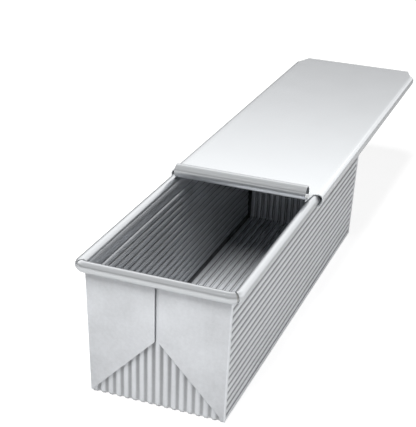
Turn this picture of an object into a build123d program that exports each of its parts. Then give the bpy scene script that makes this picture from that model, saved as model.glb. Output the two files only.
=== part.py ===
"""Pullman loaf pan with a sliding lid, in folded corrugated steel sheet.

Millimetres. X is the pan's width, Y its length and Z points up. The origin is the
centre of the underside of the base. The lid stands half open, drawn towards +Y.
"""

import os
from math import atan2, cos, degrees, radians, sin

from build123d import *

# Sheet and rim wire
sheet = 0.8
wire_diameter = 6.0
wire_clearance = 0.1

# Pan walls, outside faces, at the height of the rim's crest
pan_length = 331.6
pan_width = 103.6
rim_height = 103.0
wall_draft = 2.8
base_bend_radius = 3.4
corner_bend_radius = 4.0

# Pressed ribs, raised on the inside and grooved on the outside
rib_pitch = 5.8
rib_depth = 0.9
rib_width = 3.8
base_rib_count = 16
side_rib_count = 15
side_rib_first_height = 6.2
side_rib_end_margin = 1.0
end_rib_top_margin = 3.0

# Folded corner flaps on the end walls
flap_centre_gap = 3.0
flap_edge_angle = 45.0
flap_tip_height = 2.5
flap_edge_radius = 1.5

# Rolled rim
curl_seam_angle = 16.0
curl_seam_position = 214.0
curl_corner_slot = 1.0
curl_slot_setback = 0.6
corner_slot_angle = 45.0

# Lid
lid_length = 371.3
lid_channel_width = 124.0
lid_open_distance = 172.0
lid_running_gap = 0.3
lid_hook_gap = 0.6
lid_channel_top_radius = 3.65
lid_channel_hook_radius = 5.0
lid_hook_reach = 5.6
lid_near_setback = 17.0
lid_far_setback = 16.0
lid_end_width = 105.6
lid_neck_width = 110.0
lid_neck_setback = 15.0
lid_shoulder_setback = 0.2

# Rolled pull along the lid's near edge
pull_width = 105.0
pull_diameter = 10.8
pull_seam_angle = 40.0
pull_seam_position = -52.0

# Colours
sheet_colour = (0.71, 0.71, 0.7)
wire_colour = (0.6, 0.6, 0.58)

# Reach of every cutting shape past the face that it cuts
overrun = 1.0

# Sizes worked out from the ones above
fold = 2 * sheet
roll_radius = wire_diameter / 2 + wire_clearance + sheet
roll_height = rim_height - roll_radius
roll_half_width = pan_width / 2 - sheet / 2 + roll_radius
roll_half_length = pan_length / 2 - sheet / 2 + roll_radius
roll_corner_radius = flap_edge_radius + roll_radius
draft_angle = degrees(atan2(wall_draft, rim_height))
base_half_width = pan_width / 2 - wall_draft
base_half_length = pan_length / 2 - wall_draft
rib_overcut = rib_depth / 20
flap_top = roll_height - wire_diameter / 2
rib_radius = (rib_width**2 / 4 + rib_depth**2) / (2 * rib_depth)
lid_underside = rim_height + lid_running_gap
lid_top = lid_underside + sheet
lid_hook_top = roll_height - roll_radius - lid_hook_gap
lid_near = lid_open_distance - lid_length / 2
lid_far = lid_open_distance + lid_length / 2


def tray_form(inset):
    """Solid inside the tray's faces, moved in by the inset."""
    corner_radius = corner_bend_radius - inset
    with BuildPart() as form:
        with BuildSketch(Plane.XY.offset(inset)):
            RectangleRounded(
                2 * (base_half_width - inset), 2 * (base_half_length - inset), corner_radius
            )
        extrude(amount=roll_height - inset, taper=-draft_angle)
        fillet(form.edges().group_by(Axis.Z)[0], radius=base_bend_radius - inset)
    return form.part


def base_rib_section(radius, lowest):
    """Round sections of the base's ribs, above the lowest height, side by side."""
    with GridLocations(rib_pitch, 0, base_rib_count, 1):
        with Locations((0, rib_depth - rib_radius)):
            Circle(radius)
    half_row = base_rib_count * rib_pitch
    with Locations((0, lowest)):
        Rectangle(2 * half_row, 2 * half_row, align=(Align.CENTER, Align.MIN), mode=Mode.INTERSECT)


def base_ribs(radius, lowest):
    """Ribs that run along the base, round its bend and up the end wall, at both ends."""
    lean = radians(draft_angle)
    flat = base_half_length - base_bend_radius * (1 - sin(lean)) / cos(lean)
    wall_foot = (
        0,
        -flat - base_bend_radius * cos(lean),
        base_bend_radius - base_bend_radius * sin(lean),
    )
    climb = (roll_height - base_bend_radius - end_rib_top_margin) / cos(lean)
    across = (1, 0, 0)
    with BuildPart() as ribs:
        with BuildSketch(Plane((0, 0, 0), x_dir=across, z_dir=(0, -1, 0))):
            base_rib_section(radius, lowest)
        extrude(amount=flat)
        with BuildSketch(Plane((0, -flat, 0), x_dir=across, z_dir=(0, -1, 0))):
            base_rib_section(radius, lowest)
        revolve(
            axis=Axis((0, -flat, base_bend_radius), (-1, 0, 0)),
            revolution_arc=90 - draft_angle,
        )
        with BuildSketch(Plane(wall_foot, x_dir=across, z_dir=(0, -sin(lean), cos(lean)))):
            base_rib_section(radius, lowest)
        extrude(amount=climb)
        mirror(about=Plane.XZ)
    return ribs.part


def side_ribs(radius, reach):
    """Straight ribs along both side walls, kept within the reach of the wall's face."""
    lean = radians(draft_angle)
    half_length = base_half_length - side_rib_end_margin
    outward = rib_radius - rib_depth
    with BuildPart() as ribs:
        with BuildSketch(Plane.XZ):
            for row in range(side_rib_count):
                climb = side_rib_first_height + row * rib_pitch
                centre_x = base_half_width + climb * sin(lean) + outward * cos(lean)
                centre_z = climb * cos(lean) - outward * sin(lean)
                with Locations((centre_x, centre_z), (-centre_x, centre_z)):
                    Circle(radius)
            half_low = base_half_width + reach
            half_high = half_low + wall_draft
            Polygon(
                (half_low, 0),
                (half_high, rim_height),
                (-half_high, rim_height),
                (-half_low, 0),
                align=None,
                mode=Mode.INTERSECT,
            )
        extrude(amount=half_length, both=True)
    return ribs.part


def end_flaps():
    """Two folded triangles of double sheet that lie against each end wall."""
    half_gap = flap_centre_gap / 2
    side = pan_width / 2 + overrun
    slope = sin(radians(flap_edge_angle)) / cos(radians(flap_edge_angle))
    side_start = flap_tip_height + (base_half_width - side) * slope
    gap_start = flap_tip_height + (base_half_width - half_gap) * slope
    with BuildPart() as flaps:
        with BuildSketch():
            Rectangle(2 * base_half_width, 2 * (base_half_length + fold))
        extrude(amount=roll_height, taper=-draft_angle)
        upright = flaps.edges().filter_by_position(Axis.Z, sheet, roll_height - sheet)
        fillet(upright, radius=flap_edge_radius)
        with BuildSketch(Plane.XZ.offset(-pan_length)):
            for hand in (-1, 1):
                Polygon(
                    (hand * half_gap, flap_top),
                    (hand * side, flap_top),
                    (hand * side, side_start),
                    (hand * half_gap, gap_start),
                    align=None,
                )
        extrude(amount=2 * pan_length, mode=Mode.INTERSECT)
        Box(
            pan_width + fold,
            2 * (base_half_length - corner_bend_radius),
            2 * rim_height + fold,
            mode=Mode.SUBTRACT,
        )
    return flaps.part


def seam_wedge(reach, position, angle):
    """Opening cut through a rolled edge, where its free edge stops short of the sheet."""
    start = radians(position - angle / 2)
    end = radians(position + angle / 2)
    Polygon(
        (0, 0),
        (reach * cos(start), reach * sin(start)),
        (reach * cos(end), reach * sin(end)),
        align=None,
        mode=Mode.SUBTRACT,
    )


def rim_section(is_wire):
    """Section of the rim's wire, or of the edge rolled round it, open at its seam."""
    if is_wire:
        Circle(wire_diameter / 2)
    else:
        Circle(roll_radius)
        Circle(roll_radius - sheet, mode=Mode.SUBTRACT)
        seam_wedge(2 * roll_radius, curl_seam_position, curl_seam_angle)


def rim_bar(is_wire):
    """Bar with the curl's or the wire's section, all round the rim."""
    side_run = roll_half_length - roll_corner_radius
    end_run = roll_half_width - roll_corner_radius
    side_end = Plane(
        (roll_half_width, -side_run, roll_height), x_dir=(1, 0, 0), z_dir=(0, -1, 0)
    )
    corner_end = Plane(
        (end_run, -roll_half_length, roll_height), x_dir=(0, -1, 0), z_dir=(-1, 0, 0)
    )
    with BuildPart() as bar:
        for start, length in ((side_end, -side_run), (corner_end, end_run)):
            with BuildSketch(start):
                rim_section(is_wire)
            extrude(amount=length)
        with BuildSketch(side_end):
            rim_section(is_wire)
        revolve(axis=Axis((end_run, -side_run, roll_height), (0, 0, -1)), revolution_arc=90)
        mirror(about=Plane.XZ)
        mirror(about=Plane.YZ)
    return bar.part


def corner_slots():
    """Thin upright cutters across the rolled rim at its four corners."""
    hand_x = roll_half_width - roll_corner_radius
    hand_y = roll_half_length - roll_corner_radius
    reach = 2 * roll_radius
    start = roll_corner_radius - roll_radius + curl_slot_setback
    with BuildPart() as slots:
        with Locations((hand_x, -hand_y, roll_height)):
            with Locations(Rotation(0, 0, -corner_slot_angle)):
                with Locations((start, 0, 0)):
                    Box(
                        reach,
                        curl_corner_slot,
                        reach + sheet,
                        align=(Align.MIN, Align.CENTER, Align.CENTER),
                    )
        mirror(about=Plane.XZ)
        mirror(about=Plane.YZ)
    return slots.part


def channel_section():
    """Section of the lid's panel with a channel folded down and under along each side."""
    half = lid_channel_width / 2
    low = lid_hook_top - sheet
    lip = half - lid_hook_reach
    inner = half - sheet
    with BuildSketch() as section:
        Polygon(
            (0, lid_top),
            (half, lid_top),
            (half, low),
            (lip, low),
            (lip, lid_hook_top),
            (inner, lid_hook_top),
            (inner, lid_underside),
            (0, lid_underside),
            align=None,
        )
        corners = section.vertices()
        fillet(corners.sort_by_distance((half, lid_top, 0))[0], lid_channel_top_radius)
        fillet(
            section.vertices().sort_by_distance((inner, lid_underside, 0))[0],
            lid_channel_top_radius - sheet,
        )
        fillet(section.vertices().sort_by_distance((half, low, 0))[0], lid_channel_hook_radius)
        fillet(
            section.vertices().sort_by_distance((inner, lid_hook_top, 0))[0],
            lid_channel_hook_radius - sheet,
        )
        mirror(about=Plane.YZ)
    return section.sketch


def pull_section():
    """Section of the lid's near edge, rolled up and back over the panel, open at its seam."""
    radius = pull_diameter / 2
    centre = (lid_near + radius, lid_underside + radius)
    with BuildSketch() as section:
        with Locations(centre):
            Circle(radius)
            Circle(radius - sheet, mode=Mode.SUBTRACT)
            seam_wedge(2 * radius, pull_seam_position, pull_seam_angle)
    return section.sketch


# Pan body
with BuildPart() as pan_body:
    add(tray_form(0))
    add(end_flaps())
    add(tray_form(sheet), mode=Mode.SUBTRACT)
    add(base_ribs(rib_radius + sheet, sheet / 2))
    add(side_ribs(rib_radius + sheet, -sheet / 2))
    add(base_ribs(rib_radius, -rib_overcut), mode=Mode.SUBTRACT)
    add(side_ribs(rib_radius, rib_overcut), mode=Mode.SUBTRACT)
    add(rim_bar(False))
    add(corner_slots(), mode=Mode.SUBTRACT)

pan_body.part.label = "pan_body"
pan_body.part.color = Color(*sheet_colour)

# Rim wire
with BuildPart() as rim_wire:
    add(rim_bar(True))

rim_wire.part.label = "rim_wire"
rim_wire.part.color = Color(*wire_colour)

# Lid
channel_start = lid_near + lid_near_setback
channel_end = lid_far - lid_far_setback
with BuildPart() as lid:
    with BuildSketch(Plane.XZ.offset(-channel_end)):
        add(channel_section())
    extrude(amount=channel_end - channel_start)
    with BuildSketch(Plane.XY.offset(lid_underside)):
        half_neck = lid_neck_width / 2
        neck = lid_near + lid_neck_setback
        shoulder = lid_channel_width / 2 - lid_channel_top_radius - lid_shoulder_setback
        Polygon(
            (-pull_width / 2, lid_near + pull_diameter / 2),
            (pull_width / 2, lid_near + pull_diameter / 2),
            (half_neck, neck),
            (shoulder, channel_start + overrun),
            (shoulder, channel_end),
            (lid_end_width / 2, lid_far),
            (-lid_end_width / 2, lid_far),
            (-shoulder, channel_end),
            (-shoulder, channel_start + overrun),
            (-half_neck, neck),
            align=None,
        )
    extrude(amount=sheet)
    with BuildSketch(Plane.YZ.offset(-pull_width / 2)):
        add(pull_section())
    extrude(amount=pull_width)

lid.part.label = "lid"
lid.part.color = Color(*sheet_colour)

os.makedirs("parts", exist_ok=True)
export_step(pan_body.part, "parts/pan_body.step")
export_step(rim_wire.part, "parts/rim_wire.step")
export_step(lid.part, "parts/lid.step")
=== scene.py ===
"""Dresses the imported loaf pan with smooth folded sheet, finishes, light and a camera."""

from math import cos, pi, radians, sin

import bmesh
import bpy
from mathutils import Matrix, Vector


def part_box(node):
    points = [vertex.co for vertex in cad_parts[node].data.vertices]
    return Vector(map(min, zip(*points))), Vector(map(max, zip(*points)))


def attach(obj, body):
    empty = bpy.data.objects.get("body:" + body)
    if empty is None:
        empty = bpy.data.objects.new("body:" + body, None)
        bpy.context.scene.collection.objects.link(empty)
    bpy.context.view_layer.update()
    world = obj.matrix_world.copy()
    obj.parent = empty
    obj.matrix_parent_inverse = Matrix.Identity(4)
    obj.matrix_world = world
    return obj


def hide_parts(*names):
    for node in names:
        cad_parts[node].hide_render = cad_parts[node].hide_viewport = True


bl_info = {
    "name": "Loaf Pan With Sliding Lid",
    "version": (1, 0, 0),
    "blender": (4, 5, 0),
    "location": "View3D > Sidebar > Loaf Pan",
    "description": "Builds a ribbed sheet loaf pan with its sliding lid, finishes and studio",
    "category": "Add Mesh",
}

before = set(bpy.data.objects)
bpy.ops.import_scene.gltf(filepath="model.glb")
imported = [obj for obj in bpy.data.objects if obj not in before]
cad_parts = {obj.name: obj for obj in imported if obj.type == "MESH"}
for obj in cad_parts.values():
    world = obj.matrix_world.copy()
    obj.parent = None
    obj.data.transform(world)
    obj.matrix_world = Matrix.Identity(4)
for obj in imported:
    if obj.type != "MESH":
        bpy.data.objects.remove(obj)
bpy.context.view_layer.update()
PAN_HIGH = Vector(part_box("pan_body")[1])
LID_LOW, LID_HIGH = (Vector(corner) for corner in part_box("lid"))

MM = 0.001
X, Y, Z = Vector((1, 0, 0)), Vector((0, 1, 0)), Vector((0, 0, 1))
SLACK = 0.1 * MM  # tells places on the sheet apart
CUT_MERGE = 0.001 * MM  # a cut keeps to vertices nearer than this
SHARP_ANGLE = radians(38)  # steeper folds are shaded as edges

RIB_CUTS = (-1.13, -1.0, -0.79, -0.47, 0, 0.47, 0.79, 1.0, 1.13)  # in half widths of a rib
RIB_FOOT = 0.07  # depth of a rib at its margin, as a share of its depth
RIB_FADE = 2 * MM  # length over which a rib runs out
SIDE_BLANK = 1.0 * MM  # flat length beside each upright fold
END_BLANK = 3.5 * MM  # flat height under the rim on the end walls
FLARE_HEIGHT = 3 * MM  # top of the walls that leans out into the roll
FLARE_REACH = 0.45 * MM

FLAP_DROP = 3.2 * MM  # top of the flaps below the middle of the roll
FLAP_GAP = 0.04 * MM  # between the flaps and the wall
FLAP_PART = 1.5 * MM  # half of the slit between two flaps
FLAP_FOOT = 2.3 * MM  # height of the flaps at the upright folds
FLAP_SLOPE = 1.06  # rise of the flaps' slanted edge
FLAP_SLANT = 30 * MM  # only the slanted edges are longer across than this
FLAP_MIDDLE = 60 * MM  # and lower than this

ROLL_TURN, ROLL_STEPS = radians(312), 36
CORNER_SLOT = 1.0 * MM  # slot in the roll at each corner
CORNER_STEPS = 6
HOOK_STEPS = 10
PULL_TURN, PULL_STEPS = radians(302), 44
PULL_ROOM = 2.0 * MM  # flat sheet between the roll of the pull and the panel's tongues


# Sizes and colours

class SheetSizes(bpy.types.PropertyGroup):
    """Stock sizes of the sheet and the wire."""

    sheet: bpy.props.FloatProperty(
        name="Sheet", description="Thickness of the sheet",
        default=0.8 * MM, min=0.3 * MM, unit="LENGTH",
    )
    roll_radius: bpy.props.FloatProperty(
        name="Roll radius", description="Outer radius of the rolled rim",
        default=3.9 * MM, min=2 * MM, unit="LENGTH",
    )
    fold_radius: bpy.props.FloatProperty(
        name="Fold radius", description="Outer radius of the pan's sharp upright folds",
        default=1.5 * MM, min=0.5 * MM, unit="LENGTH",
    )


class PanSizes(bpy.types.PropertyGroup):
    """Sizes of the pan's tray."""

    base_half_width: bpy.props.FloatProperty(
        name="Base half width", description="Half of the tray's width at its base",
        default=49.0 * MM, unit="LENGTH",
    )
    base_half_length: bpy.props.FloatProperty(
        name="Base half length", description="Half of the tray's length at its base",
        default=163.0 * MM, unit="LENGTH",
    )
    draft: bpy.props.FloatProperty(
        name="Draft", description="Outward lean of every wall for each metre of height",
        default=2.8 / 103.0,
    )
    bend_radius: bpy.props.FloatProperty(
        name="Bend radius", description="Outer radius of the bend round the base",
        default=3.4 * MM, unit="LENGTH",
    )
    rib_pitch: bpy.props.FloatProperty(
        name="Rib pitch", description="Distance from one pressed rib to the next",
        default=5.8 * MM, unit="LENGTH",
    )
    rib_depth: bpy.props.FloatProperty(
        name="Rib depth", description="Depth of the pressed ribs",
        default=0.9 * MM, unit="LENGTH",
    )
    rib_width: bpy.props.FloatProperty(
        name="Rib width", description="Width of the pressed ribs at the sheet's face",
        default=3.8 * MM, unit="LENGTH",
    )
    base_ribs: bpy.props.IntProperty(
        name="Base ribs", description="Number of ribs across the base", default=16, min=1,
    )
    side_ribs: bpy.props.IntProperty(
        name="Side ribs", description="Number of ribs up each side wall", default=15, min=1,
    )
    first_rib: bpy.props.FloatProperty(
        name="First rib", description="Height of the lowest rib on a side wall",
        default=6.2 * MM, unit="LENGTH",
    )


class LidSizes(bpy.types.PropertyGroup):
    """Sizes of the lid."""

    channel_radius: bpy.props.FloatProperty(
        name="Channel radius", description="Outer radius of the channel's upper bend",
        default=3.65 * MM, unit="LENGTH",
    )
    hook_radius: bpy.props.FloatProperty(
        name="Hook radius", description="Outer radius of the channel's lower bend",
        default=5.0 * MM, unit="LENGTH",
    )
    hook_reach: bpy.props.FloatProperty(
        name="Hook reach", description="Width of the channel's foot under the rim",
        default=5.6 * MM, unit="LENGTH",
    )
    near_setback: bpy.props.FloatProperty(
        name="Near setback", description="Length of panel in front of the channels",
        default=17.0 * MM, unit="LENGTH",
    )
    far_setback: bpy.props.FloatProperty(
        name="Far setback", description="Length of panel behind the channels",
        default=16.0 * MM, unit="LENGTH",
    )
    far_half_width: bpy.props.FloatProperty(
        name="Far half width", description="Half of the panel's width at its far edge",
        default=52.8 * MM, unit="LENGTH",
    )
    neck_half_width: bpy.props.FloatProperty(
        name="Neck half width", description="Half of the panel's width in front of the channels",
        default=54.6 * MM, unit="LENGTH",
    )
    pull_half_width: bpy.props.FloatProperty(
        name="Pull half width", description="Half of the rolled pull's length",
        default=52.5 * MM, unit="LENGTH",
    )
    pull_diameter: bpy.props.FloatProperty(
        name="Pull diameter", description="Outer diameter of the rolled pull",
        default=10.8 * MM, unit="LENGTH",
    )
    running_gap: bpy.props.FloatProperty(
        name="Running gap", description="Gap between the rim's crest and the panel",
        default=0.3 * MM, unit="LENGTH",
    )


class Finishes(bpy.types.PropertyGroup):
    """Colours of the metal and the studio."""

    pan_colour: bpy.props.FloatVectorProperty(
        name="Pan", description="Colour of the pan's coated sheet",
        default=(0.60, 0.615, 0.637), subtype="COLOR", size=3,
    )
    lid_colour: bpy.props.FloatVectorProperty(
        name="Lid", description="Colour of the lid's coated sheet",
        default=(0.69, 0.708, 0.726), subtype="COLOR", size=3,
    )
    wire_colour: bpy.props.FloatVectorProperty(
        name="Wire", description="Colour of the rim's steel wire",
        default=(0.55, 0.55, 0.54), subtype="COLOR", size=3,
    )
    floor_colour: bpy.props.FloatVectorProperty(
        name="Floor", description="Colour of the studio floor",
        default=(0.32, 0.32, 0.32), subtype="COLOR", size=3,
    )


# Sheet bending

def start_run(bm, point):
    """First point of a folded section."""
    return bmesh.ops.create_vert(bm, co=point)["vert"][0]


def run_on(bm, tip, step):
    """Straight run of the section, from its tip by the step."""
    made = bmesh.ops.extrude_vert_indiv(bm, verts=[tip])
    bmesh.ops.translate(bm, verts=made["verts"], vec=step)
    return made["verts"][0]


def bend_on(bm, tip, centre, axis, angle, steps):
    """Round bend of the section, from its tip about the centre."""
    made = bmesh.ops.spin(
        bm, geom=[tip], cent=centre, axis=axis, dvec=(0, 0, 0), angle=angle, steps=steps,
        use_merge=False, use_duplicate=False,
    )
    return [part for part in made["geom_last"] if isinstance(part, bmesh.types.BMVert)][0]


def draw_out(bm, edges, step):
    """Pulls a section's edges along the step into sheet, and returns the far edges."""
    made = bmesh.ops.extrude_edge_only(bm, edges=edges)
    verts = [part for part in made["geom"] if isinstance(part, bmesh.types.BMVert)]
    far = set(verts)
    bmesh.ops.translate(bm, verts=verts, vec=step)
    return [
        part for part in made["geom"]
        if isinstance(part, bmesh.types.BMEdge) and far.issuperset(part.verts)
    ]


def turn_out(bm, edges, centre, axis, angle, steps):
    """Sweeps a section's edges round an upright axis."""
    verts = list({vert for edge in edges for vert in edge.verts})
    bmesh.ops.spin(
        bm, geom=verts + list(edges), cent=centre, axis=axis, dvec=(0, 0, 0), angle=angle,
        steps=steps, use_merge=False, use_duplicate=False,
    )


def copy_across(bm, normal, merge=True):
    """Adds the mirror image of the whole mesh, with its faces turned to match."""
    geom = bm.verts[:] + bm.edges[:] + bm.faces[:]
    copied = bmesh.ops.duplicate(bm, geom=geom)["geom"]
    verts = [part for part in copied if isinstance(part, bmesh.types.BMVert)]
    faces = [part for part in copied if isinstance(part, bmesh.types.BMFace)]
    bmesh.ops.scale(bm, verts=verts, vec=[1 - 2 * abs(part) for part in normal])
    bmesh.ops.reverse_faces(bm, faces=faces)
    if merge:
        bmesh.ops.remove_doubles(bm, verts=bm.verts, dist=0.01 * MM)


def finish_piece(bm, name, body, material, replaced=None, sheet=0.0, centred=False):
    """Makes the mesh a named piece with a finish, on its body, and thick where it is sheet."""
    for face in bm.faces:
        face.smooth = True
    for edge in bm.edges:
        edge.smooth = len(edge.link_faces) == 2 and edge.calc_face_angle(0.0) < SHARP_ANGLE
    mesh = bpy.data.meshes.new(name)
    bm.to_mesh(mesh)
    bm.free()
    piece = bpy.data.objects.new(name, mesh)
    bpy.context.scene.collection.objects.link(piece)
    mesh.materials.append(material)
    if sheet:
        wall = piece.modifiers.new("Sheet", "SOLIDIFY")
        wall.thickness = sheet
        wall.offset = 0.0 if centred else -1.0
        wall.use_quality_normals = True
    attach(piece, body)
    if replaced:
        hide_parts(replaced)
    return piece


# Finishes

def node(tree, kind, **values):
    """Adds a shader node and sets its plain inputs by name."""
    made = tree.nodes.new(kind)
    for key, value in values.items():
        if key in made.inputs:
            made.inputs[key].default_value = value
        else:
            setattr(made, key, value)
    return made


def sheet_grain_group():
    """Group that mottles coated sheet, lightens its ridges as wear and painted highlight,
    darkens its grooves with painted shade and grains it.
    """
    group = bpy.data.node_groups.get("Coated sheet")
    if group:
        return group
    group = bpy.data.node_groups.new("Coated sheet", "ShaderNodeTree")
    for name, kind, value in (
        ("Colour", "NodeSocketColor", (0.7, 0.7, 0.7, 1)),
        ("Roughness", "NodeSocketFloat", 0.3),
        ("Mottle", "NodeSocketFloat", 0.08),
        ("Grain", "NodeSocketFloat", 0.05),
        ("Wear", "NodeSocketFloat", 0.15),
        ("Residue", "NodeSocketFloat", 0.2),
    ):
        group.interface.new_socket(name, in_out="INPUT", socket_type=kind).default_value = value
    for name, kind in (
        ("Colour", "NodeSocketColor"),
        ("Roughness", "NodeSocketFloat"),
        ("Height", "NodeSocketFloat"),
    ):
        group.interface.new_socket(name, in_out="OUTPUT", socket_type=kind)
    links = group.links
    entry = node(group, "NodeGroupInput")
    leave = node(group, "NodeGroupOutput")
    place = node(group, "ShaderNodeTexCoord")
    spangle = node(group, "ShaderNodeTexNoise", Scale=420.0, Detail=4.0, Roughness=0.65)
    cloud = node(group, "ShaderNodeTexNoise", Scale=45.0, Detail=4.0)
    stretch = node(group, "ShaderNodeMapping")
    stretch.inputs["Scale"].default_value = (1.0, 0.06, 1.0)
    grain = node(group, "ShaderNodeTexNoise", Scale=2600.0, Detail=2.0)
    for texture in (spangle, cloud, stretch):
        links.new(place.outputs["Object"], texture.inputs["Vector"])
    links.new(stretch.outputs["Vector"], grain.inputs["Vector"])

    spangle_share, middle = 0.6, 0.8
    mix_spots = node(group, "ShaderNodeMath", operation="MULTIPLY_ADD")
    mix_spots.inputs[1].default_value = spangle_share
    links.new(spangle.outputs["Fac"], mix_spots.inputs[0])
    links.new(cloud.outputs["Fac"], mix_spots.inputs[2])
    centred = node(group, "ShaderNodeMath", operation="SUBTRACT")
    centred.inputs[1].default_value = middle
    links.new(mix_spots.outputs[0], centred.inputs[0])
    shade = node(group, "ShaderNodeMath", operation="MULTIPLY_ADD")
    shade.inputs[2].default_value = 1.0
    links.new(centred.outputs[0], shade.inputs[0])
    links.new(entry.outputs["Mottle"], shade.inputs[1])

    form = node(group, "ShaderNodeNewGeometry")
    lift = shade
    # Convex ridges are lightened, partly as rubbed wear and partly as a painted highlight;
    # hollow grooves are darkened with painted shade.
    for amount, low, high, change in (
        ("Wear", 0.52, 0.62, "ADD"), ("Residue", 0.50, 0.46, "SUBTRACT"),
    ):
        found = node(group, "ShaderNodeMapRange")
        found.inputs["From Min"].default_value = low
        found.inputs["From Max"].default_value = high
        links.new(form.outputs["Pointiness"], found.inputs["Value"])
        share = node(group, "ShaderNodeMath", operation="MULTIPLY")
        links.new(found.outputs["Result"], share.inputs[0])
        links.new(entry.outputs[amount], share.inputs[1])
        changed = node(group, "ShaderNodeMath", operation=change)
        links.new(lift.outputs[0], changed.inputs[0])
        links.new(share.outputs[0], changed.inputs[1])
        lift = changed
    tint = node(group, "ShaderNodeVectorMath", operation="SCALE")
    links.new(entry.outputs["Colour"], tint.inputs[0])
    links.new(lift.outputs[0], tint.inputs["Scale"])
    links.new(tint.outputs["Vector"], leave.inputs["Colour"])

    rough = node(group, "ShaderNodeMath", operation="MULTIPLY_ADD")
    links.new(centred.outputs[0], rough.inputs[0])
    links.new(entry.outputs["Mottle"], rough.inputs[1])
    links.new(entry.outputs["Roughness"], rough.inputs[2])
    links.new(rough.outputs[0], leave.inputs["Roughness"])

    relief = node(group, "ShaderNodeMath", operation="MULTIPLY_ADD")
    links.new(grain.outputs["Fac"], relief.inputs[0])
    links.new(entry.outputs["Grain"], relief.inputs[1])
    links.new(mix_spots.outputs[0], relief.inputs[2])
    links.new(relief.outputs[0], leave.inputs["Height"])
    return group


def metal(name, colour, metallic, bump, **amounts):
    """Satin metal, with its amounts of roughness, mottling, grain, ridge wear with painted
    highlight, and painted groove shade.
    """
    made = bpy.data.materials.get(name)
    if made:
        return made
    made = bpy.data.materials.new(name)
    made.use_nodes = True
    tree = made.node_tree
    shader = tree.nodes["Principled BSDF"]
    shader.inputs["Metallic"].default_value = metallic
    made.diffuse_color = (*colour, 1)
    coat = tree.nodes.new("ShaderNodeGroup")
    coat.node_tree = sheet_grain_group()
    coat.inputs["Colour"].default_value = (*colour, 1)
    for key, value in amounts.items():
        coat.inputs[key].default_value = value
    relief = node(tree, "ShaderNodeBump", Strength=bump, Distance=0.05 * MM)
    tree.links.new(coat.outputs["Colour"], shader.inputs["Base Color"])
    tree.links.new(coat.outputs["Roughness"], shader.inputs["Roughness"])
    tree.links.new(coat.outputs["Height"], relief.inputs["Height"])
    tree.links.new(relief.outputs["Normal"], shader.inputs["Normal"])
    return made


def pan_finish():
    """Satin coated sheet of the pan, with painted shade in its grooves and wear with a painted
    highlight on its ridges.
    """
    return metal(
        "pan coated sheet", tuple(bpy.context.scene.loaf_finishes.pan_colour), metallic=0.38,
        # Painted light: the ridge lightening of 0.25 adds a painted highlight to the ribs'
        # lands, and the groove darkening of 0.80 is painted shade.
        bump=0.03, Roughness=0.36, Mottle=0.20, Grain=0.30, Wear=0.25, Residue=0.80,
    )


def flap_finish():
    """Coated sheet of the flaps, its colour darkened as painted shade."""
    # Painted shade: the flaps are the same sheet as the pan, made darker in colour for how light
    # falls on them.
    painted_flap_shade = 0.85
    colour = tuple(painted_flap_shade * part for part in bpy.context.scene.loaf_finishes.pan_colour)
    return metal(
        "flap coated sheet", colour, metallic=0.38,
        bump=0.03, Roughness=0.44, Mottle=0.50, Grain=0.30, Wear=0.25, Residue=0.0,
    )


def lid_finish():
    """Satin coated sheet of the lid."""
    return metal(
        "lid coated sheet", tuple(bpy.context.scene.loaf_finishes.lid_colour), metallic=0.70,
        bump=0.01, Roughness=0.20, Mottle=0.03, Grain=0.30, Wear=0.0, Residue=0.0,
    )


def rolled_finish():
    """Sheet burnished where it is rolled, on the rim and the lid's pull."""
    return metal(
        "rolled coated sheet", tuple(bpy.context.scene.loaf_finishes.lid_colour), metallic=0.92,
        bump=0.01, Roughness=0.31, Mottle=0.03, Grain=0.30, Wear=0.0, Residue=0.0,
    )


def wire_finish():
    """Drawn steel wire."""
    return metal(
        "rim steel wire", tuple(bpy.context.scene.loaf_finishes.wire_colour), metallic=1.0,
        bump=0.4, Roughness=0.35, Mottle=0.2, Grain=0.5, Wear=0.1, Residue=0.0,
    )


# Pieces

def rim_place():
    """Height, half width and half length of the rolled rim's centre line."""
    radius = bpy.context.scene.loaf_sheet.roll_radius
    return PAN_HIGH.z - radius, PAN_HIGH.x - radius, PAN_HIGH.y - radius


def panel_level():
    """Height of the middle of the lid panel's sheet."""
    scene = bpy.context.scene
    return PAN_HIGH.z + scene.loaf_lid.running_gap + scene.loaf_sheet.sheet / 2


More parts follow.
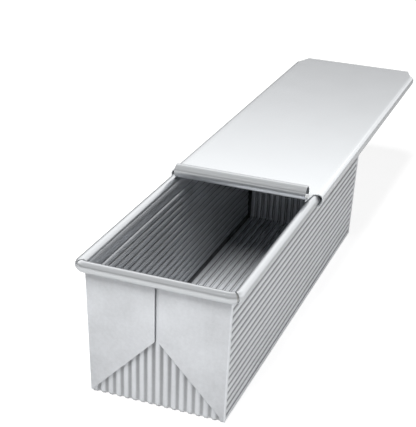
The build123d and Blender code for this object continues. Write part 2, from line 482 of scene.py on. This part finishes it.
class LOAF_OT_tray(bpy.types.Operator):
    """Ribbed tray of one folded sheet, with ribs along the base and ends and up the sides"""

    bl_idname = "loaf.tray"
    bl_label = "Tray"

    def execute(self, context):
        pan, stock = context.scene.loaf_pan, context.scene.loaf_sheet
        top, _, _ = rim_place()
        bm = bmesh.new()
        bmesh.ops.create_cube(bm, size=2.0)
        bmesh.ops.scale(
            bm, verts=bm.verts, vec=(pan.base_half_width, pan.base_half_length, top / 2)
        )
        bmesh.ops.translate(bm, verts=bm.verts, vec=(0, 0, top / 2))
        spread = pan.draft * top
        upper = [vert for vert in bm.verts if vert.co.z > top / 2]
        widen = (1 + spread / pan.base_half_width, 1 + spread / pan.base_half_length, 1)
        bmesh.ops.scale(bm, verts=upper, vec=widen)
        bmesh.ops.delete(
            bm, geom=[face for face in bm.faces if face.normal.z > 0.9], context="FACES_ONLY"
        )
        folds = [edge for edge in bm.edges if max(vert.co.z for vert in edge.verts) < MM]
        bmesh.ops.bevel(
            bm, geom=folds, offset=pan.bend_radius, segments=6, profile=0.5, affect="EDGES",
            clamp_overlap=True,
        )
        self.press_ribs(bm, pan, top)
        for vert in bm.verts:
            flare = (vert.co.z - top + FLARE_HEIGHT) / FLARE_HEIGHT
            if flare > 0:
                outward = vert.normal.copy()
                outward.z = 0
                vert.co += outward.normalized() * (FLARE_REACH * flare * flare)
        finish_piece(
            bm, "tray_sheet", "pan", pan_finish(), "pan_body", sheet=stock.sheet
        )
        return {"FINISHED"}

    def press_ribs(self, bm, pan, top):
        """Cuts the sheet into fine strips where the ribs run and presses them inward."""
        edge = pan.rib_width / 2
        radius = (edge ** 2 + pan.rib_depth ** 2) / (2 * pan.rib_depth)
        cuts = [edge * share for share in RIB_CUTS]
        margin = pan.bend_radius + SLACK
        half_row = (pan.base_ribs - 1) / 2 * pan.rib_pitch
        for row in range(pan.base_ribs):
            for offset in cuts:
                place = row * pan.rib_pitch - half_row + offset
                if abs(place) < pan.base_half_width - margin:
                    ends = [face for face in bm.faces if abs(face.normal.x) < 0.3]
                    self.cut(bm, ends, X * place, X)
        for row in range(pan.side_ribs):
            for offset in cuts:
                place = pan.first_rib + row * pan.rib_pitch + offset
                if place > margin:
                    self.cut(bm, self.side_faces(bm), Z * place, Z)
        rib_end = pan.base_half_length - SIDE_BLANK
        for share in (0, 0.25, 0.5, 0.75, 1):
            for hand in (-1, 1):
                lean = Vector((0, hand, -pan.draft)).normalized()
                place = Y * hand * (rib_end - share * RIB_FADE)
                self.cut(bm, self.side_faces(bm), place, lean)
        end_top = top - END_BLANK
        for share in (0, 0.5, 1):
            ends = [face for face in bm.faces if abs(face.normal.y) > 0.8]
            self.cut(bm, ends, Z * (end_top - share * RIB_FADE), Z)
        for share in (1, 0.5):
            self.cut(bm, bm.faces[:], Z * (top - share * FLARE_HEIGHT), Z)
        bm.normal_update()
        press = {}
        for vert in bm.verts:
            normal = vert.normal.copy()
            if abs(normal.x) > 0.9:
                row = (vert.co.z - pan.first_rib) / pan.rib_pitch
                nearest = min(max(round(row), 0), pan.side_ribs - 1)
                gap = abs(row - nearest) * pan.rib_pitch
                left = rib_end + pan.draft * vert.co.z - abs(vert.co.y)
                fade = min(max(left / RIB_FADE, 0), 1)
            else:
                row = (vert.co.x + half_row) / pan.rib_pitch
                nearest = min(max(round(row), 0), pan.base_ribs - 1)
                gap = abs(row - nearest) * pan.rib_pitch
                fade = min(max((end_top - vert.co.z) / RIB_FADE, 0), 1)
            if gap < 1.05 * edge and fade > 0:
                chord = max(radius ** 2 - gap ** 2, 0) ** 0.5
                depth = max(chord - radius + pan.rib_depth, RIB_FOOT * pan.rib_depth)
                press[vert] = normal * -depth * sin(pi / 2 * fade)
        for vert, step in press.items():
            vert.co += step

    def side_faces(self, bm):
        """Faces of the long side walls."""
        return [face for face in bm.faces if abs(face.normal.x) > 0.99]

    def cut(self, bm, faces, point, normal):
        """Cuts the faces along a plane."""
        edges = {edge for face in faces for edge in face.edges}
        verts = {vert for edge in edges for vert in edge.verts}
        bmesh.ops.bisect_plane(
            bm, geom=[*faces, *edges, *verts], dist=CUT_MERGE, plane_co=point, plane_no=normal
        )


class LOAF_OT_corner_flaps(bpy.types.Operator):
    """Folded double flaps that lie against the end walls and square off the corners"""

    bl_idname = "loaf.corner_flaps"
    bl_label = "Corner flaps"

    def execute(self, context):
        pan, stock = context.scene.loaf_pan, context.scene.loaf_sheet
        top, _, _ = rim_place()
        top -= FLAP_DROP
        front = -pan.base_half_length - 2 * stock.sheet
        face = -pan.base_half_length - FLAP_GAP
        side = pan.base_half_width + FLAP_GAP
        bm = bmesh.new()
        first = tip = start_run(bm, (FLAP_PART, front, 0))
        for step in (X * (side - FLAP_PART), Y * (face - front), -X * (side - FLAP_PART)):
            tip = run_on(bm, tip, step)
        bmesh.ops.contextual_create(bm, geom=[first, tip])
        fold = [
            vert for vert in bm.verts
            if vert.co.x > side - FLAP_GAP and vert.co.y < face - FLAP_GAP
        ]
        bmesh.ops.contextual_create(bm, geom=bm.edges[:])
        bmesh.ops.bevel(
            bm, geom=fold, offset=0.59 * stock.fold_radius, segments=5, profile=0.5,
            affect="VERTICES",
        )
        made = bmesh.ops.extrude_face_region(bm, geom=bm.faces[:])
        upper = [part for part in made["geom"] if isinstance(part, bmesh.types.BMVert)]
        bmesh.ops.translate(bm, verts=upper, vec=Z * top)
        for vert in upper:
            vert.co.y -= pan.draft * top
            if vert.co.x > side / 2:
                vert.co.x += pan.draft * top
        cut = bmesh.ops.bisect_plane(
            bm, geom=bm.verts[:] + bm.edges[:] + bm.faces[:], dist=CUT_MERGE,
            plane_co=(side, 0, FLAP_FOOT), plane_no=Vector((FLAP_SLOPE, 0, 1)).normalized(),
            clear_inner=True,
        )
        rim = [part for part in cut["geom_cut"] if isinstance(part, bmesh.types.BMEdge)]
        bmesh.ops.contextual_create(bm, geom=rim)
        bmesh.ops.recalc_face_normals(bm, faces=bm.faces)
        slant = [
            edge for edge in bm.edges
            if abs(edge.verts[0].co.x - edge.verts[1].co.x) > FLAP_SLANT
            and all(v.co.y < face - FLAP_GAP and v.co.z < FLAP_MIDDLE for v in edge.verts)
        ]
        bmesh.ops.bevel(
            bm, geom=slant, offset=0.6 * stock.sheet, segments=3, profile=0.5,
            affect="EDGES", clamp_overlap=True,
        )
        copy_across(bm, X, merge=False)
        copy_across(bm, Y, merge=False)
        finish_piece(bm, "corner_flaps", "pan", flap_finish())
        return {"FINISHED"}


class LOAF_OT_rolled_rim(bpy.types.Operator):
    """Edge of the sheet rolled round the wire, open in a narrow slot at each corner"""

    bl_idname = "loaf.rolled_rim"
    bl_label = "Rolled rim"

    def execute(self, context):
        stock = context.scene.loaf_sheet
        height, half_width, half_length = rim_place()
        corner = stock.fold_radius + stock.roll_radius
        sweep = pi / 4 - CORNER_SLOT / 2 / corner
        bm = bmesh.new()
        for along, across, quarter in (
            (half_length, half_width, 0),
            (half_width, half_length, 1),
        ):
            part = bmesh.new()
            run = along - corner
            first = start_run(part, (across - stock.roll_radius, -run, height))
            bend_on(part, first, (across, -run, height), Y, ROLL_TURN, ROLL_STEPS)
            near = part.edges[:]
            far = draw_out(part, near, Y * 2 * run)
            hub = across - corner
            turn_out(part, far, (hub, run, height), Z, sweep, CORNER_STEPS)
            turn_out(part, near, (hub, -run, height), -Z, sweep, CORNER_STEPS)
            bmesh.ops.recalc_face_normals(part, faces=part.faces)
            test = max(part.faces, key=lambda face: face.calc_center_median().z)
            if test.normal.z < 0:
                bmesh.ops.reverse_faces(part, faces=part.faces)
            turned = Matrix.Rotation(quarter * pi / 2, 4, "Z")
            bmesh.ops.transform(part, verts=part.verts, matrix=turned)
            other = part.copy()
            bmesh.ops.transform(other, verts=other.verts, matrix=Matrix.Rotation(pi, 4, "Z"))
            for piece in (part, other):
                holder = bpy.data.meshes.new("roll")
                piece.to_mesh(holder)
                piece.free()
                bm.from_mesh(holder)
                bpy.data.meshes.remove(holder)
        finish_piece(bm, "rim_roll", "pan", rolled_finish(), sheet=stock.sheet)
        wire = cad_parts["rim_wire"]
        wire.data.materials.clear()
        wire.data.materials.append(wire_finish())
        return {"FINISHED"}


class LOAF_OT_lid_panel(bpy.types.Operator):
    """Flat lid with a hooked channel folded under along each side"""

    bl_idname = "loaf.lid_panel"
    bl_label = "Lid panel"

    def execute(self, context):
        lid, stock = context.scene.loaf_lid, context.scene.loaf_sheet
        half_sheet = stock.sheet / 2
        side = LID_HIGH.x - half_sheet
        level = panel_level()
        low = LID_LOW.z + half_sheet
        upper = lid.channel_radius - half_sheet
        lower = lid.hook_radius - half_sheet
        near = LID_LOW.y + lid.near_setback
        far = LID_HIGH.y - lid.far_setback
        pull = lid.pull_half_width
        neck = lid.neck_half_width + 1.0 * MM
        bm = bmesh.new()
        tip = start_run(bm, (0, near, level))
        tip = run_on(bm, tip, X * pull)
        tip = run_on(bm, tip, X * (neck - pull))
        tip = run_on(bm, tip, X * (side - upper - neck))
        tip = bend_on(bm, tip, (side - upper, near, level - upper), Y, pi / 2, HOOK_STEPS)
        tip = run_on(bm, tip, -Z * (level - upper - low - lower))
        tip = bend_on(bm, tip, (side - lower, near, low + lower), Y, pi / 2, HOOK_STEPS)
        run_on(bm, tip, -X * (side - lower - LID_HIGH.x + lid.hook_reach))
        section = bm.edges[:]
        far_edges = draw_out(bm, section, Y * (far - near))

        tips = self.flat_edges(section, neck, level)
        places = (
            (near - 2.0 * MM, lid.neck_half_width, False),
            (LID_LOW.y + lid.pull_diameter / 2 + PULL_ROOM, pull + 1.1 * MM, False),
            (LID_LOW.y, pull + 0.2 * MM, True),
        )
        reached = near
        for place, half_width, tongue in places:
            if tongue:
                tips = [e for e in tips if max(v.co.x for v in e.verts) > pull + SLACK]
            tips = draw_out(bm, tips, Y * (place - reached))
            for vert in {vert for edge in tips for vert in edge.verts}:
                if vert.co.x > pull + SLACK:
                    vert.co.x = half_width
            reached = place

        outer = self.flat_edges(far_edges, side - upper, level)
        tips = draw_out(bm, outer, Y * (LID_HIGH.y - far))
        for vert in {vert for edge in tips for vert in edge.verts}:
            vert.co.x *= lid.far_half_width / (side - upper)
        bmesh.ops.recalc_face_normals(bm, faces=bm.faces)
        top = max(bm.faces, key=lambda face: face.calc_area())
        if top.normal.z < 0:
            bmesh.ops.reverse_faces(bm, faces=bm.faces)
        copy_across(bm, X)
        finish_piece(
            bm, "lid_panel", "lid", lid_finish(), "lid", sheet=stock.sheet,
            centred=True,
        )
        return {"FINISHED"}

    def flat_edges(self, edges, half_width, level):
        """Those of the edges that lie in the panel, within its half width."""
        return [
            edge for edge in edges
            if all(vert.co.x < half_width + SLACK for vert in edge.verts)
            and all(abs(vert.co.z - level) < SLACK / 10 for vert in edge.verts)
        ]


class LOAF_OT_lid_pull(bpy.types.Operator):
    """Near edge of the lid, rolled up and back over the panel"""

    bl_idname = "loaf.lid_pull"
    bl_label = "Lid pull"

    def execute(self, context):
        lid, stock = context.scene.loaf_lid, context.scene.loaf_sheet
        radius = lid.pull_diameter / 2
        turn = radius - stock.sheet / 2
        level = panel_level()
        left = -lid.pull_half_width
        bm = bmesh.new()
        tip = start_run(bm, (left, LID_LOW.y + radius + PULL_ROOM, level))
        tip = run_on(bm, tip, -Y * PULL_ROOM)
        bend_on(bm, tip, (left, LID_LOW.y + radius, level + turn), X, -PULL_TURN, PULL_STEPS)
        draw_out(bm, bm.edges[:], -X * 2 * left)
        bmesh.ops.recalc_face_normals(bm, faces=bm.faces)
        finish_piece(
            bm, "lid_pull", "lid", rolled_finish(), sheet=0.98 * stock.sheet,
            centred=True,
        )
        return {"FINISHED"}


# Studio

# Strength of the surroundings for shiny rays, by the rise of their direction
BEHIND = (
    (0.0, 0.20), (0.12, 0.20), (0.25, 0.22), (0.31, 0.50), (0.37, 1.00), (0.45, 1.50),
    (0.79, 0.70), (1.0, 0.40),
)
BEHIND_RIGHT = ((0.0, 0.90), (0.20, 1.00), (0.38, 1.10), (0.50, 1.10), (0.79, 0.70), (1.0, 0.40))
BEFORE = (
    (0.0, 1.30), (0.12, 0.70), (0.25, 0.20), (0.42, 0.20), (0.60, 0.52), (0.80, 0.50),
    (1.0, 0.40),
)
# Name, place, aim, width, height and power of each lamp
LAMPS = (
    ("window", (-0.09, -0.62, 1.24), (0.0, 0.0, 0.05), 0.4, 0.94, 46.0),
    ("side fill", (1.3, -0.10, 0.10), (0.05, 0.0, 0.05), 0.6, 0.14, 14.0),
)
SOFT_LIGHT = 0.04  # strength of the surroundings for all other rays but the camera's
FLOOR_SEEN, FLOOR_SHINY = 0.88, 0.10  # glow of the floor for the camera and for shiny rays

IMAGE_WIDTH, IMAGE_HEIGHT = 416.0, 427.0
FOCAL_LENGTH = 1107.0  # in pixels
OPTICAL_CENTRE = (204.2, 213.1)  # in pixels, from the top left
SENSOR_WIDTH = 36.0
CAMERA_PLACE = (0.246, -0.7455, 0.427)
CAMERA_AROUND, CAMERA_UP, CAMERA_ROLL = radians(20.43), radians(24.0), radians(2.07)


class LOAF_OT_studio(bpy.types.Operator):
    """Plain floor that reads white, soft light and the camera"""

    bl_idname = "loaf.studio"
    bl_label = "Studio"

    def execute(self, context):
        self.floor(context)
        self.world(context)
        for lamp in LAMPS:
            self.lamp(*lamp)
        self.camera(context)
        context.scene.view_settings.view_transform = "Standard"
        return {"FINISHED"}

    def floor(self, context):
        """Plain floor, which glows for the camera and keeps the pan's shadow."""
        bm = bmesh.new()
        bmesh.ops.create_grid(bm, x_segments=1, y_segments=1, size=6.0)
        mesh = bpy.data.meshes.new("floor")
        bm.to_mesh(mesh)
        bm.free()
        floor = bpy.data.objects.new("floor", mesh)
        context.scene.collection.objects.link(floor)
        made = bpy.data.materials.new("pale floor")
        made.use_nodes = True
        shader = made.node_tree.nodes["Principled BSDF"]
        colour = context.scene.loaf_finishes.floor_colour
        shader.inputs["Base Color"].default_value = (*colour, 1)
        shader.inputs["Roughness"].default_value = 0.9
        shader.inputs["Specular IOR Level"].default_value = 0.0
        path = node(made.node_tree, "ShaderNodeLightPath")
        seen = node(made.node_tree, "ShaderNodeMath", operation="MULTIPLY")
        seen.inputs[1].default_value = FLOOR_SEEN
        shiny = node(made.node_tree, "ShaderNodeMath", operation="MULTIPLY_ADD")
        shiny.inputs[1].default_value = FLOOR_SHINY
        made.node_tree.links.new(path.outputs["Is Camera Ray"], seen.inputs[0])
        made.node_tree.links.new(path.outputs["Is Glossy Ray"], shiny.inputs[0])
        made.node_tree.links.new(seen.outputs[0], shiny.inputs[2])
        made.node_tree.links.new(shiny.outputs[0], shader.inputs["Emission Strength"])
        shader.inputs["Emission Color"].default_value = (1, 1, 1, 1)
        mesh.materials.append(made)

    def world(self, context):
        """White to the camera, graded light for shiny rays and faint even light for the rest."""
        world = bpy.data.worlds.new("studio")
        context.scene.world = world
        world.use_nodes = True
        tree = world.node_tree
        shader = tree.nodes["Background"]
        view = node(tree, "ShaderNodeTexCoord")
        split = node(tree, "ShaderNodeSeparateXYZ")
        tree.links.new(view.outputs["Generated"], split.inputs["Vector"])
        behind = self.ramp(tree, split, BEHIND)
        behind_right = self.ramp(tree, split, BEHIND_RIGHT)
        before = self.ramp(tree, split, BEFORE)
        right = self.blend(tree, split.outputs["X"], 0.0, 0.30, behind, behind_right)
        light = self.blend(tree, split.outputs["Y"], -0.35, 0.30, before, right)
        path = node(tree, "ShaderNodeLightPath")
        shiny = node(tree, "ShaderNodeMix")
        shiny.inputs["A"].default_value = SOFT_LIGHT
        tree.links.new(path.outputs["Is Glossy Ray"], shiny.inputs["Factor"])
        tree.links.new(light, shiny.inputs["B"])
        choose = node(tree, "ShaderNodeMix")
        choose.inputs["B"].default_value = 1.0
        tree.links.new(path.outputs["Is Camera Ray"], choose.inputs["Factor"])
        tree.links.new(shiny.outputs["Result"], choose.inputs["A"])
        tree.links.new(choose.outputs["Result"], shader.inputs["Strength"])
        shader.inputs["Color"].default_value = (1, 1, 1, 1)

    def blend(self, tree, along, low, high, first, second):
        """Passes from the first light to the second along one axis."""
        side = node(tree, "ShaderNodeMapRange", interpolation_type="SMOOTHSTEP")
        side.inputs["From Min"].default_value = low
        side.inputs["From Max"].default_value = high
        tree.links.new(along, side.inputs["Value"])
        mixed = node(tree, "ShaderNodeMix")
        tree.links.new(side.outputs["Result"], mixed.inputs["Factor"])
        tree.links.new(first, mixed.inputs["A"])
        tree.links.new(second, mixed.inputs["B"])
        return mixed.outputs["Result"]

    def ramp(self, tree, split, stops):
        """Strength of the light by the rise of its direction."""
        curve = node(tree, "ShaderNodeFloatCurve")
        points = curve.mapping.curves[0].points
        top = max(value for _, value in stops)
        for place, value in stops:
            if place == 0.0:
                points[0].location = (0.0, value / top)
            elif place == 1.0:
                points[-1].location = (1.0, value / top)
            else:
                points.new(place, value / top)
        curve.mapping.update()
        tree.links.new(split.outputs["Z"], curve.inputs["Value"])
        scale = node(tree, "ShaderNodeMath", operation="MULTIPLY")
        scale.inputs[1].default_value = top
        tree.links.new(curve.outputs["Value"], scale.inputs[0])
        return scale.outputs[0]

    def lamp(self, name, place, aim, width, height, power):
        """Soft oblong lamp turned to its aim."""
        light = bpy.data.lights.new(name, "AREA")
        light.shape = "RECTANGLE"
        light.size = width
        light.size_y = height
        light.energy = power
        lamp = bpy.data.objects.new(name, light)
        lamp.visible_glossy = False
        bpy.context.scene.collection.objects.link(lamp)
        lamp.location = place
        towards = Vector(aim) - Vector(place)
        lamp.rotation_euler = towards.to_track_quat("-Z", "Y").to_euler()

    def camera(self, context):
        """Camera at the viewing angle, a little above one near corner."""
        around, up, roll = CAMERA_AROUND, CAMERA_UP, CAMERA_ROLL
        back = Vector((sin(around) * cos(up), -cos(around) * cos(up), sin(up)))
        level = (-back).cross(Z).normalized()
        over = level.cross(-back)
        right = cos(roll) * level + sin(roll) * over
        rise = -sin(roll) * level + cos(roll) * over
        data = bpy.data.cameras.new("camera")
        camera = bpy.data.objects.new("camera", data)
        context.scene.collection.objects.link(camera)
        turn = Matrix((right, rise, back)).transposed().to_4x4()
        camera.matrix_world = Matrix.Translation(CAMERA_PLACE) @ turn
        data.sensor_width = SENSOR_WIDTH
        data.lens = FOCAL_LENGTH * SENSOR_WIDTH / IMAGE_HEIGHT
        data.shift_x = (IMAGE_WIDTH / 2 - OPTICAL_CENTRE[0]) / IMAGE_HEIGHT
        data.shift_y = (OPTICAL_CENTRE[1] - IMAGE_HEIGHT / 2) / IMAGE_HEIGHT
        data.clip_start = 0.01
        context.scene.camera = camera


class LOAF_PT_panel(bpy.types.Panel):
    """Lists the pieces and their sizes"""

    bl_idname = "LOAF_PT_panel"
    bl_label = "Loaf Pan"
    bl_space_type = "VIEW_3D"
    bl_region_type = "UI"
    bl_category = "Loaf Pan"

    def draw(self, context):
        scene = context.scene
        for sizes in (scene.loaf_sheet, scene.loaf_pan, scene.loaf_lid, scene.loaf_finishes):
            box = self.layout.box()
            for name in sizes.bl_rna.properties.keys():
                if name not in {"rna_type", "name"}:
                    box.prop(sizes, name)
        for step in STEPS:
            self.layout.operator(step.bl_idname)


STEPS = (
    LOAF_OT_tray, LOAF_OT_corner_flaps, LOAF_OT_rolled_rim, LOAF_OT_lid_panel, LOAF_OT_lid_pull,
    LOAF_OT_studio,
)
GROUPS = (
    ("loaf_sheet", SheetSizes), ("loaf_pan", PanSizes), ("loaf_lid", LidSizes),
    ("loaf_finishes", Finishes),
)


def register():
    """Registers the property groups, the operators and the panel."""
    for name, group in GROUPS:
        bpy.utils.register_class(group)
        setattr(bpy.types.Scene, name, bpy.props.PointerProperty(type=group))
    for kind in (*STEPS, LOAF_PT_panel):
        bpy.utils.register_class(kind)


def unregister():
    """Takes them out again."""
    for kind in (LOAF_PT_panel, *reversed(STEPS)):
        bpy.utils.unregister_class(kind)
    for name, group in reversed(GROUPS):
        delattr(bpy.types.Scene, name)
        bpy.utils.unregister_class(group)


def main():
    """Builds every piece and the studio."""
    register()
    for step in STEPS:
        area, name = step.bl_idname.split(".")
        getattr(getattr(bpy.ops, area), name)()
    bpy.context.view_layer.update()


if __name__ == "__main__":
    main()
